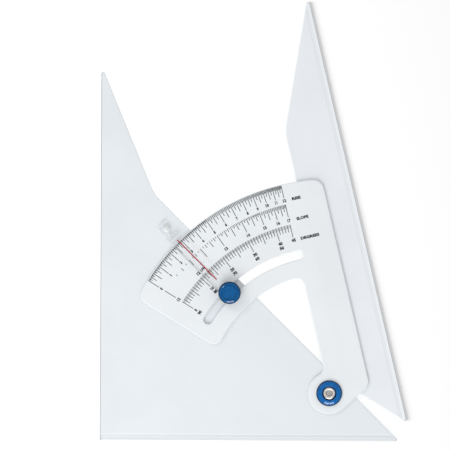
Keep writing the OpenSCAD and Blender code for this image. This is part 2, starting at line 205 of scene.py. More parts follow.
# Ring: small roundings at its foot, its rim and its recess
RING_FOOT_ROUND = 0.25 * MM
RING_RIM_ROUND = 0.5 * MM
RECESS_ROUND = 0.8 * MM
RECESS_FLOOR_ROUND = 0.2 * MM
# Rivet: thickness of its heads, height of its crown, play in the ring and roundings of the lower head
RIVET_HEAD_T = 0.8 * MM
CROWN_H = 0.7 * MM
RIVET_PLAY = 0.05 * MM
RIVET_FOOT_ROUND = 0.35 * MM
RIVET_HEAD_ROUND = 0.3 * MM
# Depth below the rivet's top at which painted shade in its bore begins
BORE_SHADE_DEPTH = 0.45 * MM
HARDWARE_ROUND = 0.12 * MM
# Steps of a rounded corner, steps of a dish or a crown, and steps round the small and the large
# turned pieces
CORNER_STEPS = 6
CURVE_STEPS = 12
TURN_STEPS = 96
FINE_TURN_STEPS = 128
# Faces that meet at less than the first angle, in degrees, are shaded as one, and those of a CAD node
# that meet at less than the second become one
SMOOTH_ANGLE = 35
FLAT_ANGLE = 0.2
# Corners closer than this become one, in a CAD node's copy and in a new piece
NODE_MERGE = 0.002 * MM
MERGE = 0.001 * MM
# Numerals: capital height of the built-in font at size 1, space after a numeral, and the share of a
# numeral's width that a 1, a slash or a space does without
CAPITAL_H = 0.7
NUMERAL_GAP = 0.3 * MM
NARROW_SHARE = 0.45
# Ease of a printed line's upper edges, as a share of the ink's thickness, and of a rib's, as a share of
# its height or width
INK_EASE = 0.6
RIB_EASE = 0.4


def linear(red, green, blue):
    """Colour of an sRGB triple from 0 to 255, as Blender's linear numbers."""
    def decode(level):
        share = level / 255
        return share / 12.92 if share <= 0.04045 else ((share + 0.055) / 1.055) ** 2.4
    return tuple(decode(level) for level in (red, green, blue))


# ---- What a user may change ----

def number_value(name, default, description, **settings):
    """Property that holds a number."""
    return bpy.props.FloatProperty(name=name, description=description, default=default, **settings)


def length_value(name, default, description, least=0):
    """Property that holds a length in metres."""
    return number_value(name, default, description, min=least, precision=5, unit="LENGTH")


def colour_value(name, default, description):
    """Property that holds a colour."""
    return bpy.props.FloatVectorProperty(
        name=name, description=description, default=default, min=0, max=1, size=3, subtype="COLOR")


def share_value(name, default, description):
    """Property that holds a number from 0 to 1."""
    return number_value(name, default, description, min=0, max=1, subtype="FACTOR")


def angle_value(name, default, description):
    """Property that holds an angle; its default is given in degrees."""
    return number_value(name, math.radians(default), description, subtype="ANGLE")


class SheetLook(bpy.types.PropertyGroup):
    """Clear sheets of the base plate, the arm and the scale plate."""

    base_colour: colour_value("Base plate", linear(236, 241, 245), "Face of the base plate")
    arm_colour: colour_value("Arm", linear(240, 244, 248), "Face of the swing arm")
    scale_colour: colour_value("Scale plate", linear(240, 244, 247), "Face of the scale plate")
    # Rounded edges take a painted highlight, a colour lighter than the faces
    edge_colour: colour_value("Rounded edges", linear(250, 252, 253), "Rounded edges of the sheets")
    # Upright walls take painted shade, a colour darker than the faces
    wall_colour: colour_value("Cut walls", linear(205, 212, 218), "Upright walls of the sheets")
    edge_round: length_value("Edge rounding", 0.5 * MM, "Radius along the edges of base plate and arm")
    scale_round: length_value("Scale edge rounding", 0.75 * MM, "Radius along the edges of the scale plate")
    # Tones of slope and ledge beside the drawing edges: painted shade on the base plate and painted light
    # on the arm
    base_slope: number_value("Base slope", 0.8, "Tone of the base plate's slope beside its face")
    base_ledge: number_value("Base ledge", 0.92, "Tone of the base plate's ledge beside its face")
    arm_slope: number_value("Arm slope", 1.08, "Tone of the arm's slope beside its face")
    arm_ledge: number_value("Arm ledge", 1.03, "Tone of the arm's ledge beside its face")
    solidity: share_value("Solidity", 0.92, "Share of the light that one face of a sheet stops")
    scale_solidity: share_value("Scale solidity", 0.93, "The same for the scale plate")


class PrintLook(bpy.types.PropertyGroup):
    """Printed scales."""

    ink_colour: colour_value("Ink", linear(24, 26, 30), "Ink of lines, numerals and words")
    line_w: length_value("Line width", 0.43 * MM, "Width of the lines at whole and part units")
    fine_line_w: length_value("Fine line width", 0.14 * MM, "Width of the finest lines")
    coarse_line_w: length_value("Coarse line width", 0.1 * MM, "The same where a scale is coarse")
    slope_line_w: length_value("Slope line width", 0.35 * MM, "Width of the slope scale's wide short lines")
    arc_w: length_value("Outer arc width", 0.05 * MM, "Width of the arc along the rise scale")
    whole_l: length_value("Whole line", 8.7 * MM, "Length of the lines at whole units")
    half_l: length_value("Half line", 7.2 * MM, "Length of the lines at halves and at 5 degrees")
    quarter_l: length_value("Quarter line", 4.8 * MM, "Length of the lines at quarters and degrees")
    eighth_l: length_value("Eighth line", 2.5 * MM, "Length of the lines at eighths")
    fine_l: length_value("Fine line", 1.4 * MM, "Length of the finest lines where a scale is fine")
    coarse_l: length_value("Coarse line", 2.1 * MM, "Length of the finest lines where a scale is coarse")
    degree_fine_l: length_value("Fine degree line", 2.4 * MM, "Length of the quarter-degree lines")
    digit_h: length_value("Numeral height", 1.95 * MM, "Height of the numerals")
    digit_w: length_value("Numeral width", 1.65 * MM, "Width of one numeral with its share of space")
    word_h: length_value("Word height", 1.8 * MM, "Height of the words beside the scales")
    rise_word_w: length_value("Rise word width", 6.1 * MM, "Width of the word beside the rise scale")
    slope_word_w: length_value("Slope word width", 8.3 * MM, "Width of the word beside the slope scale")
    degree_word_w: length_value("Degree word width", 12.9 * MM, "Width of the degree scale's word")
    boldness: share_value("Boldness", 0.055, "Thickening of numerals and words, as a share of their size")
    rise_digit_in: length_value("Rise numerals", 10.5 * MM, "From the rise scale to its numerals")
    slope_digit_in: length_value("Slope numerals", 11 * MM, "From the slope scale to its numerals")
    degree_digit_in: length_value("Degree numerals", 10.7 * MM, "From the degree scale to its numerals")
    degree_pair_in: length_value("Second numerals", 3.1 * MM, "From a degree numeral to its partner")
    rise_word_in: length_value("Rise word", 10.2 * MM, "From the rise scale to its word")
    slope_word_in: length_value("Slope word", 10.7 * MM, "From the slope scale to its word")
    degree_word_in: length_value("Degree word", 10 * MM, "From the degree scale to its word")
    rise_word_at: number_value("Rise word reading", 48.5, "Reading in degrees at the word's middle")
    slope_word_at: number_value("Slope word reading", 49.4, "Reading in degrees at the word's middle")
    degree_word_at: number_value("Degree word reading", 51.1, "Reading in degrees at the word's middle")


class FittingLook(bpy.types.PropertyGroup):
    """Knob, hinge and cursor."""

    knob_colour: colour_value("Knob", linear(3, 84, 142), "Blue plastic of the knob")
    ring_colour: colour_value("Ring", linear(4, 93, 160), "Blue plastic of the hinge ring")
    clear_colour: colour_value("Cursor", linear(246, 249, 251), "Clear plastic of the cursor")
    line_colour: colour_value("Reading line", linear(176, 10, 38), "Red line under the cursor")
    metal_colour: colour_value("Rivet", linear(205, 202, 200), "Nickel plate of the rivet")
    cursor_round: length_value("Cursor rounding", 0.2 * MM, "Radius along the cursor's edges")
    step_round: length_value("Step rounding", 0.45 * MM, "Radius along the cursor's steps")
    knob_bevel: length_value("Knob bevel", 5.5 * MM, "Radius at which the knob's top starts to slope")
    ring_bevel: length_value("Ring bevel", 6.2 * MM, "Radius at which the ring's top starts to slope")
    knob_slope: angle_value("Knob slope", 24, "Slope of the knob's bevel")
    ring_slope: angle_value("Ring slope", 22.3, "Slope of the ring's bevel")
    knob_gloss: share_value("Knob gloss", 0.15, "Share of the light that the knob's surface mirrors")
    ring_gloss: share_value("Ring gloss", 0.19, "Share of the light that the ring's surface mirrors")
    bevel_round: length_value("Bevel rounding", 1.5 * MM, "Radius between either bevel and the side")


class StudioLook(bpy.types.PropertyGroup):
    """Floor, light and camera."""

    view_w: length_value("View width", 305 * MM, "Width of the picture at the height of the table")
    view_x: length_value("View centre X", -19.6 * MM, "Middle of the picture on the table", -1)
    view_y: length_value("View centre Y", -2.56 * MM, "Middle of the picture on the table", -1)
    view_turn: angle_value("View turn", 0.27, "Turn of the camera about its own axis")
    camera_h: length_value("Camera height", 2.6, "Height of the camera above the table")
    table_tone: share_value("Table tone", 0.5, "Share of the light that the table sends back")
    table_glow: share_value("Table glow", 0.3, "Light that the camera sees from the table besides")
    sky_level: share_value("Sky", 0.69, "Light from all sides on a level surface")
    lamp_distance: length_value("Lamp distance", 1.3, "From the middle of the table to any lamp")


LOOKS = {
    "set_square_sheets": SheetLook,
    "set_square_print": PrintLook,
    "set_square_fittings": FittingLook,
    "set_square_studio": StudioLook,
}


# ---- Materials ----

class Value:
    """A number or colour that changes over a surface. Arithmetic on it adds Math nodes."""

    def __init__(self, shading, socket):
        self.shading = shading
        self.socket = socket

    def _math(self, operation, *operands):
        return self.shading.node("ShaderNodeMath", {"operation": operation}, dict(enumerate(operands)))

    def __add__(self, other):
        return self._math("ADD", self, other)

    def __radd__(self, other):
        return self._math("ADD", other, self)

    def __sub__(self, other):
        return self._math("SUBTRACT", self, other)

    def __rsub__(self, other):
        return self._math("SUBTRACT", other, self)

    def __mul__(self, other):
        return self._math("MULTIPLY", self, other)

    def __rmul__(self, other):
        return self._math("MULTIPLY", other, self)

    def __abs__(self):
        return self._math("ABSOLUTE", self)

    def most(self, other):
        """The larger of this and another value."""
        return self._math("MAXIMUM", self, other)

    def ramp(self, low, high):
        """0 below low, 1 above high, and smooth between them."""
        spans = {"Value": self, "From Min": low, "From Max": high, "To Min": 0, "To Max": 1}
        return self.shading.node("ShaderNodeMapRange", {"interpolation_type": "SMOOTHSTEP"}, spans)


class Shading:
    """The nodes of a material or of the sky, round one shader with some fixed values."""

    def __init__(self, tree, shader, fixed):
        self.tree = tree
        self.shader = tree.nodes[shader]
        for socket, value in fixed.items():
            self.shader.inputs[socket].default_value = value

    def node(self, kind, settings=None, inputs=None, output=0):
        """Adds a node with its settings, then the values or links of its sockets."""
        made = self.tree.nodes.new(kind)
        for setting, value in (settings or {}).items():
            setattr(made, setting, value)
        for socket, value in (inputs or {}).items():
            if isinstance(value, Value):
                self.tree.links.new(value.socket, made.inputs[socket])
            else:
                made.inputs[socket].default_value = value
        return Value(self, made.outputs[output])

    def feed(self, socket, value):
        """Links a value to a socket of the shader."""
        self.tree.links.new(value.socket, self.shader.inputs[socket])

    def sight_rays(self):
        """1 for rays of the camera, of gloss and of clear plastic, and 0 for the light that falls."""
        camera, glossy, clear = (self.node("ShaderNodeLightPath", output=f"Is {kind} Ray")
                                 for kind in ("Camera", "Glossy", "Transmission"))
        return camera.most(glossy).most(clear)


class Finish(Shading):
    """A material with one Principled shader. Fixed values go straight on the shader's sockets."""

    def __init__(self, name, fixed):
        self.material = bpy.data.materials.new(name)
        self.material.use_nodes = True
        super().__init__(self.material.node_tree, "Principled BSDF", fixed)

    def place(self, centre=(0, 0, 0), turn=0, stretch=(1, 1, 1)):
        """Object coordinates, moved, turned about Z and stretched."""
        here = self.node("ShaderNodeTexCoord", output="Object")
        steps = {"Vector": here, "Location": centre, "Rotation": (0, 0, turn), "Scale": stretch}
        return self.node("ShaderNodeMapping", {"vector_type": "TEXTURE"}, steps)

    def noise(self, size, detail=2, place=None):
        """Cloudy pattern of a given size, from 0 to 1."""
        inputs = {"Vector": place or self.place(), "Scale": 1 / size, "Detail": detail}
        return self.node("ShaderNodeTexNoise", None, inputs)

    def specks(self, size, share):
        """1 on small scattered spots and 0 elsewhere."""
        inputs = {"Vector": self.place(), "Scale": 1 / size, "Randomness": 1}
        distance = self.node("ShaderNodeTexVoronoi", None, inputs)
        return 1 - distance.ramp(share / 2, share)

    def scratches(self, turn, length, width, rarity):
        """Fine straight hairlines that run in one direction."""
        place = self.place(turn=turn, stretch=(length, width, width))
        streaks = self.node("ShaderNodeTexNoise", None, {"Vector": place, "Scale": 1, "Detail": 2})
        return streaks.ramp(rarity, rarity + 0.03)

    def normal(self):
        """Direction that the surface faces."""
        return self.node("ShaderNodeNewGeometry", output="Normal")

    def part_of(self, vector, axis):
        """X, Y or Z part of a vector."""
        return self.node("ShaderNodeSeparateXYZ", None, {"Vector": vector}, output=axis)

    def tilt(self):
        """0 on level faces, rising to 1 on upright ones."""
        return 1 - abs(self.part_of(self.normal(), "Z"))

    def distance_from(self, centre):
        """Distance from an upright axis."""
        offset = self.node("ShaderNodeVectorMath", {"operation": "MULTIPLY"},
                           {0: self.place(centre=centre), 1: (1, 1, 0)})
        return self.node("ShaderNodeVectorMath", {"operation": "LENGTH"}, {0: offset}, output="Value")

    def mix(self, first, second, share):
        """Colour between two others."""
        def whole(colour):
            return colour if isinstance(colour, Value) else (*colour[:3], 1)
        inputs = {"Factor": share, 6: whole(first), 7: whole(second)}
        return self.node("ShaderNodeMix", {"data_type": "RGBA"}, inputs, output=2)

    def bump(self, height, distance):
        """Raises the surface by a height from 0 to 1 times a distance."""
        inputs = {"Height": height, "Distance": distance, "Strength": 1}
        self.feed("Normal", self.node("ShaderNodeBump", None, inputs))


def shade(colour, share):
    """A colour made darker or lighter by a factor."""
    return tuple(min(1, channel * share) for channel in colour[:3])


# Tilts between which a sheet's slopes, rounded edges and walls begin
SLOPE_TILT = (0.04, 0.09)
ROUND_TILT = (0.14, 0.24)
WALL_TILT = (0.6, 0.95)
# X parts of the normal between which the painted shade on the rounded edge of base plate and arm begins
PAINTED_SHADE_LEFT = (-0.05, -0.15)
PAINTED_SHADE_RIGHT = (0.5, 0.65)
# Half width over which the base plate darkens to the right
BASE_ACROSS = 90 * MM


def sheet_finish(name, face, look, solidity, across=0, edge=None):
    """Satin clear sheet: even face, rounded edges in a painted highlight, dull walls in painted shade,
    faint clouds, rubs and dust.

    Across is the half width over which the face darkens to the right, if it does. The edge holds the tones
    of slope and ledge, painted shade below 1 and painted light above 1, and the X parts of the normal
    between which its rounding takes painted shade.
    """
    finish = Finish(name, {"IOR": 1.49, "Specular IOR Level": 0.3, "Alpha": solidity,
                           "Coat Weight": 0.1, "Coat Roughness": 0.12})
    clouds = finish.noise(40 * MM, detail=3)
    grain = finish.noise(0.35 * MM, detail=2)
    rubs = finish.scratches(turn=0.4, length=30 * MM, width=0.25 * MM, rarity=0.66).most(
        finish.scratches(turn=-0.9, length=22 * MM, width=0.2 * MM, rarity=0.68))
    dust = finish.specks(3 * MM, 0.05)
    tilt = finish.tilt()
    tone = finish.mix(face, shade(face, 0.97), clouds.ramp(0.35, 0.7))
    if across:
        to_right = finish.part_of(finish.place(), "X").ramp(-across, across)
        tone = finish.mix(tone, shade(face, 0.965), to_right)
    if edge:
        painted_slope_tone, painted_ledge_tone, painted_shade_normals = edge
        # Ledge and slope take painted shade where their tone is below 1 and painted light where it is above
        # 1
        ledge = 1 - finish.part_of(finish.place(), "Z").ramp(LEDGE_Z, LEDGE_Z + 0.2 * MM)
        tone = finish.mix(tone, shade(face, painted_ledge_tone), ledge)
        tone = finish.mix(tone, shade(face, painted_slope_tone), tilt.ramp(*SLOPE_TILT))
    tone = finish.mix(tone, shade(face, 1.03), rubs * 0.35)
    tone = finish.mix(tone, shade(face, 0.9), dust * 0.5)
    # Rounded edges take a painted highlight
    rounded = finish.mix(tone, look.edge_colour, tilt.ramp(*ROUND_TILT))
    if edge:
        # Rounded edges that face one side take painted shade
        facing = finish.part_of(finish.normal(), "X").ramp(*painted_shade_normals)
        rounded = finish.mix(rounded, shade(face, 0.4), facing)
    # Upright walls: painted shade in the colour, and more roughness
    wall = tilt.ramp(*WALL_TILT)
    finish.feed("Base Color", finish.mix(rounded, look.wall_colour, wall))
    finish.feed("Roughness", 0.24 + grain * 0.1 + rubs * 0.12 + wall * 0.1)
    finish.bump(grain * 0.4 - rubs * 0.5 + dust * 0.6, 0.012 * MM)
    return finish.material


def ink_finish(name, colour):
    """Screen-printed ink: nearly matt, a little thinner in places."""
    finish = Finish(name, {"Specular IOR Level": 0.3})
    thin = finish.noise(0.6 * MM, detail=3)
    pits = finish.specks(0.25 * MM, 0.2)
    tone = finish.mix(colour, shade(colour, 1.9), thin.ramp(0.45, 0.8) * 0.35)
    finish.feed("Base Color", finish.mix(tone, shade(colour, 2.6), pits * 0.3))
    finish.feed("Roughness", 0.5 + thin * 0.2)
    finish.bump(thin, 0.01 * MM)
    return finish.material


def clear_finish(name, colour, body=0.0, painted_shade_side=0):
    """Water-clear moulded plastic: see-through faces, edges in painted shade and less clear, and faint flow
    lines.

    The body is how much its faces veil. Along the scales, a line of painted shade runs on one side, at a
    distance from the cursor's line, if one is asked for.
    """
    finish = Finish(name, {"IOR": 1.49, "Specular IOR Level": 0.4, "Coat Weight": 0.5,
                           "Coat Roughness": 0.06})
    flow = finish.noise(1, detail=3, place=finish.place(
        turn=math.radians(LOCK_POLAR), stretch=(14 * MM, 1.2 * MM, 4 * MM)))
    grain = finish.noise(0.4 * MM)
    # Edges take painted shade and veil more
    edge_painted_shade = finish.tilt().ramp(0.25, 0.95)
    tone = finish.mix(colour, shade(colour, 0.96), flow.ramp(0.4, 0.7))
    tone = finish.mix(tone, shade(colour, 0.85), edge_painted_shade)
    alpha = 0.015 + body + flow * 0.03 + edge_painted_shade * 0.2
    if painted_shade_side:
        # A line of painted shade along one side of the cursor
        along = finish.place(centre=PIVOT, turn=math.radians(LOCK_POLAR))
        side = finish.part_of(along, "Y").ramp(painted_shade_side - 0.55 * MM, painted_shade_side - 0.2 * MM)
        over = 1 - finish.part_of(along, "X").ramp(RISE_R - 1 * MM, RISE_R + 1 * MM)
        line = side * over
        tone = finish.mix(tone, shade(colour, 0.25), line)
        alpha = alpha.most(line * 0.42)
    finish.feed("Base Color", tone)
    finish.feed("Alpha", alpha)
    finish.feed("Roughness", 0.07 + grain * 0.06)
    finish.bump(flow * 0.6 + grain * 0.1, 0.03 * MM)
    return finish.material


def blue_finish(name, colour, centre, gloss):
    """Glossy moulded plastic: turned shine, tiny pits, rubbed upper edges, sides in painted shade."""
    finish = Finish(name, {"IOR": 1.5, "Specular IOR Level": gloss})
    clouds = finish.noise(2.5 * MM, detail=3)
    grain = finish.noise(0.12 * MM, detail=2)
    turns = finish.distance_from(centre) * (2 * math.pi / (0.3 * MM))
    rings = finish.node("ShaderNodeMath", {"operation": "SINE"}, {0: turns})
    slope = finish.tilt()
    worn = slope.ramp(0.02, 0.25) * finish.noise(0.8 * MM, detail=4).ramp(0.5, 0.72)
    tone = finish.mix(shade(colour, 0.86), shade(colour, 1.14), clouds.ramp(0.3, 0.7))
    tone = finish.mix(tone, shade(colour, 1.5), worn * 0.25)
    # Steep sides take painted shade
    finish.feed("Base Color", finish.mix(tone, shade(colour, 0.22), slope.ramp(0.1, 0.2)))
    finish.feed("Roughness", 0.11 + grain * 0.04 + worn * 0.06)
    finish.bump(rings * 0.02 + grain * 0.03 + clouds * 0.25, 0.015 * MM)
    return finish.material


def metal_finish(name, colour, grain_size, dents=0, below=None):
    """Plated metal: fine grain, dull patches and, where asked, dents and a mottled painted shade in the
    bore below a level.
    """
    finish = Finish(name, {"Metallic": 1.0})
    grain = finish.noise(grain_size, detail=3)
    patches = finish.noise(1.3 * MM, detail=3)
    tone = finish.mix(shade(colour, 0.72), colour, patches.ramp(0.35, 0.6))
    tone = finish.mix(tone, shade(colour, 0.4), grain.ramp(0.6, 0.78) * 0.6)
    # Below a level, the bore takes a mottled painted shade
    if below is not None:
        level = finish.part_of(finish.place(), "Z")
        bore_painted_shade = finish.mix(shade(colour, 0.5), shade(colour, 0.95), finish.noise(0.7 * MM).ramp(0.4, 0.6))
        tone = finish.mix(bore_painted_shade, tone, level.ramp(below - 0.5 * MM, below))
    finish.feed("Base Color", tone)
    finish.feed("Roughness", 0.2 + grain * 0.14 + patches * 0.12)
    hammered = finish.noise(0.8 * MM, detail=1)
    finish.bump(grain * 0.12 + hammered * dents, 0.15 * MM)
    return finish.material


def dull_finish(name, colour, solidity=1.0):
    """Nylon and adhesive film: soft shine and a mottled tone."""
    finish = Finish(name, {"Alpha": solidity, "Specular IOR Level": 0.4})
    mottle = finish.noise(0.8 * MM, detail=3)
    finish.feed("Base Color", finish.mix(shade(colour, 0.93), colour, mottle.ramp(0.35, 0.65)))
    finish.feed("Roughness", 0.45 + mottle * 0.15)
    finish.bump(mottle, 0.02 * MM)
    return finish.material


# ---- Modelling ----

def take(piece):
    """Makes one object the only selected and active one."""
    bpy.ops.object.select_all(action="DESELECT")
    piece.select_set(True)
    bpy.context.view_layer.objects.active = piece


def add_primitive(name, kind, **settings):
    """Adds a mesh primitive and names it."""
    bpy.ops.object.select_all(action="DESELECT")
    getattr(bpy.ops.mesh, f"primitive_{kind}_add")(**settings)
    piece = bpy.context.object
    piece.name = name
    piece.data.name = name
    return piece


def edit(mode="VERT"):
    """Enters edit mode with vertices, edges or faces as what is picked."""
    bpy.ops.object.mode_set(mode="EDIT")
    bpy.ops.mesh.select_mode(type=mode)


def settle_mesh(smooth_angle=SMOOTH_ANGLE):
    """Leaves edit mode, moves the place into the mesh and smooths shallow edges."""
    bpy.ops.object.mode_set(mode="OBJECT")
    bpy.ops.object.transform_apply(location=True, rotation=True, scale=True)
    bpy.ops.object.shade_smooth_by_angle(angle=math.radians(smooth_angle))


def place_piece(piece, body, material, slot, *nodes):
    """Gives a finished piece its material and its body, and hides the CAD nodes that it stands for. The
    slot is not used.
    """
    piece.data.materials.clear()
    piece.data.materials.append(material)
    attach(piece, body)
    if nodes:
        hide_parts(*nodes)
    return piece


def coat_node(node, material):
    """Gives a CAD node that stays its material."""
    mesh = frame["nodes"][node].data
    mesh.materials.clear()
    mesh.materials.append(material)


def copy_of_node(node, name):
    """A separate copy of a CAD node's mesh, with its corners merged and its flat faces whole."""
    piece = bpy.data.objects.new(name, frame["nodes"][node].data.copy())
    piece.data.name = name
    bpy.context.scene.collection.objects.link(piece)
    take(piece)
    edit()
    bpy.ops.mesh.select_all(action="SELECT")
    bpy.ops.mesh.remove_doubles(threshold=NODE_MERGE)
    bpy.ops.mesh.dissolve_limited(angle_limit=math.radians(FLAT_ANGLE))
    bpy.ops.object.mode_set(mode="OBJECT")
    return piece


def pick_edges(piece, wanted):
    """Selects the edges for which wanted(ends, normals of the two faces) holds, and nothing else."""
    mesh = piece.data
    normals = {}
    for face in mesh.polygons:
        for key in face.edge_keys:
            normals.setdefault(key, []).append(face.normal)
    for part in (mesh.vertices, mesh.edges, mesh.polygons):
        part.foreach_set("select", [False] * len(part))
    for edge in mesh.edges:
        ends = [mesh.vertices[i].co for i in edge.vertices]
        edge.select = len(normals[edge.key]) == 2 and wanted(ends, normals[edge.key])


def round_edges(piece, wanted, radius, segments=3):
    """Rounds the edges that wanted picks, then weights the normals so that flat faces stay flat."""
    take(piece)
    pick_edges(piece, wanted)
    edit("EDGE")
    bpy.ops.mesh.bevel(offset=radius, segments=segments, affect="EDGES", clamp_overlap=False)
    settle_mesh()
    bpy.ops.object.modifier_add(type="WEIGHTED_NORMAL")
    piece.modifiers[-1].keep_sharp = True
    bpy.ops.object.modifier_apply(modifier=piece.modifiers[-1].name)


def outline_edges(clear_of):
    """Test for the upper and lower edges of a sheet's outline, away from (centre, radius) places."""
    def wanted(ends, normals):
        level = [abs(n.z) > ALONG for n in normals]
        upright = [abs(n.z) < SQUARE for n in normals]
        if not (any(level) and any(upright)):
            return False
        middle = (ends[0] + ends[1]) / 2
        return all((middle.xy - centre.xy).length > radius for centre, radius in clear_of)
    return wanted


def sharp_edges(clear_of, least=25):
    """Test for edges between faces that meet at more than an angle, away from (centre, radius) places."""
    def wanted(ends, normals):
        middle = (ends[0] + ends[1]) / 2
        return normals[0].angle(normals[1], 0) > math.radians(least) and all(
            (middle.xy - centre.xy).length > radius for centre, radius in clear_of)
    return wanted


def step_edges():
    """Test for the upper edges of the cursor's steps, which run across the cursor's line."""
    def wanted(ends, normals):
        along = (ends[1] - ends[0]).normalized()
        facing = max(n.xy.dot(TO_LOCK) for n in normals)
        middle = (ends[0] + ends[1]) / 2
        return (abs(along.xy.dot(TO_LOCK)) < SQUARE and facing > ALONG
                and max(n.z for n in normals) > ALONG and middle.z > STEP_FOOT)
    return wanted


def soft_outline(corners):
    """Closed outline of (radius, level) points, from corners of (radius, level, rounding)."""
    points = []
    for i, (radius, level, rounding) in enumerate(corners):
        corner = Vector((radius, level))
        if not rounding:
            points.append(corner)
            continue
        back = (Vector(corners[i - 1][:2]) - corner).normalized()
        on = (Vector(corners[(i + 1) % len(corners)][:2]) - corner).normalized()
        half = back.angle(on) / 2
        centre = corner + (back + on).normalized() * rounding / math.sin(half)
        start = corner + back * rounding / math.tan(half) - centre
        end = corner + on * rounding / math.tan(half) - centre
        for step in range(CORNER_STEPS + 1):
            points.append(centre + start.lerp(end, step / CORNER_STEPS).normalized() * rounding)
    return points


def turned_piece(name, outline, axis, steps=TURN_STEPS):
    """Turns a closed outline of (radius, level) points about an upright axis."""
    piece = add_primitive(name, "circle", vertices=len(outline))
    for vertex, (radius, level) in zip(piece.data.vertices, outline):
        vertex.co = (axis.x + radius, axis.y, level)
    edit()
    bpy.ops.mesh.select_all(action="SELECT")
    bpy.ops.mesh.spin(steps=steps, angle=2 * math.pi, center=(axis.x, axis.y, 0), axis=(0, 0, 1))
    bpy.ops.mesh.select_all(action="SELECT")
    bpy.ops.mesh.remove_doubles(threshold=MERGE)
    bpy.ops.mesh.delete_loose(use_verts=True, use_edges=True, use_faces=False)
    bpy.ops.mesh.select_all(action="SELECT")
    bpy.ops.mesh.normals_make_consistent(inside=False)
    settle_mesh()
    return piece


def join_pieces(name, pieces):
    """Joins pieces into one and names it."""
    take(pieces[0])
    for piece in pieces:
        piece.select_set(True)
    bpy.ops.object.join()
    joined = bpy.context.object
    joined.name = name
    joined.data.name = name
    return joined


def copy_placed(piece, matrix):
    """A copy of a piece with its own mesh, put at a place."""
    placed = bpy.data.objects.new(piece.name, piece.data.copy())
    placed.data.transform(matrix)
    bpy.context.scene.collection.objects.link(placed)
    return placed


def discard(piece):
    """Takes a pattern piece out again."""
    take(piece)
    bpy.ops.object.delete()


# ---- Printed scales ----

def polar_of(reading):
    """Direction from the pivot of a scale reading, as an angle from +X."""
    return math.radians(LOCK_POLAR + READING - reading)


def polar_place(reading, radius):
    """Place on the scale plate's top at a scale reading, turned so that its top points outwards."""
    polar = polar_of(reading)
    spot = PIVOT.xy + radius * Vector((math.cos(polar), math.sin(polar)))
    return Matrix.Translation((*spot, PRINT_Z)) @ Matrix.Rotation(polar - math.pi / 2, 4, "Z")


def printed_line(width, length):
    """Pattern for a printed line: from the origin down along -Y, with its upper edges eased."""
    line = add_primitive("printed_line", "cube", size=1, location=(0, -length / 2, INK_T / 2))
    line.scale = (width, length, INK_T)
    bpy.ops.object.transform_apply(location=True, rotation=True, scale=True)
    pick_edges(line, lambda ends, normals: all(end.z > INK_T / 2 for end in ends))
    edit("EDGE")
    bpy.ops.mesh.bevel(offset=INK_T * INK_EASE, segments=1, affect="EDGES")
    bpy.ops.object.mode_set(mode="OBJECT")
    return line


def printed_word(text, height, width):
    """Printed numerals or letters of a given height and width, centred on the origin."""
    bpy.ops.object.select_all(action="DESELECT")
    bpy.ops.object.text_add()
    word = bpy.context.object
    word.data.body = text
    word.data.size = height / CAPITAL_H
    word.data.resolution_u = 2
    word.data.extrude = INK_T / 2
    word.data.offset = word.data.size * bpy.context.scene.set_square_print.boldness
    bpy.ops.object.convert(target="MESH")
    edit()
    bpy.ops.mesh.select_all(action="SELECT")
    bpy.ops.mesh.remove_doubles(threshold=MERGE)
    bpy.ops.object.mode_set(mode="OBJECT")
    across = [v.co.x for v in word.data.vertices]
    centred = Matrix.Translation((-(min(across) + max(across)) / 2, -height / 2, INK_T / 2))
    stretch = Matrix.Diagonal((width / (max(across) - min(across)), 1, 1, 1))
    word.data.transform(stretch @ centred)
    return word


def arc_bar(name, inner, outer):
    """Printed arc along a whole scale."""
    bar = add_primitive(name, "circle", vertices=4, fill_type="NGON")
    first = polar_of(0)
    along = Vector((math.cos(first), math.sin(first)))
    section = [(inner, 0), (outer, 0), (outer, INK_T), (inner, INK_T)]
    for vertex, (radius, level) in zip(bar.data.vertices, section):
        vertex.co = (*(PIVOT.xy + radius * along), PRINT_Z + level)
    edit()
    bpy.ops.mesh.select_all(action="SELECT")
    bpy.ops.mesh.spin(steps=2 * FULL_READING, angle=math.radians(FULL_READING), axis=(0, 0, 1),
                      center=(PIVOT.x, PIVOT.y, 0))
    bpy.ops.mesh.select_all(action="SELECT")
    bpy.ops.mesh.normals_make_consistent(inside=False)
    bpy.ops.object.mode_set(mode="OBJECT")
    return bar


def printed_scale(name, node, radius, lines, words, extras=()):
    """One row: lines of (reading, width, length), words of (text, reading, radius, height, width, turn)."""
    pieces = list(extras)
    patterns = {}
    for reading, width, length in lines:
        if (width, length) not in patterns:
            patterns[width, length] = printed_line(width, length)
        pieces.append(copy_placed(patterns[width, length], polar_place(reading, radius)))
    for pattern in patterns.values():
        discard(pattern)
    for text, reading, at_radius, height, width, turn in words:
        word = printed_word(text, height, width)
        place = polar_place(reading, at_radius)
        if turn is not None:
            place = Matrix.Translation(place.translation) @ Matrix.Rotation(turn, 4, "Z")
        word.data.transform(place)
        pieces.append(word)
    look = bpy.context.scene.set_square_print
    return place_piece(join_pieces(name, pieces), "arm", ink_finish(f"{name}_ink", look.ink_colour),
                       "dark_ink", node)


def numeral(look, text, reading, radius):
    """Numerals at a reading, upright as seen from the scale's edge."""
    narrow = NARROW_SHARE * look.digit_w * sum(text.count(mark) for mark in "1 /")
    return (text, reading, radius, look.digit_h, len(text) * look.digit_w - narrow - NUMERAL_GAP, None)


def part_lengths(look):
    """Line lengths by the share of a unit that they mark, longest first."""
    return ((1, look.whole_l), (1 / 2, look.half_l), (1 / 4, look.quarter_l), (1 / 8, look.eighth_l))


def line_size(look, value, finest):
    """Width and length of the line at a value, from the largest share that divides it."""
    for share, length in part_lengths(look):
        if (value / share).is_integer():
            return look.line_w, length
    return finest


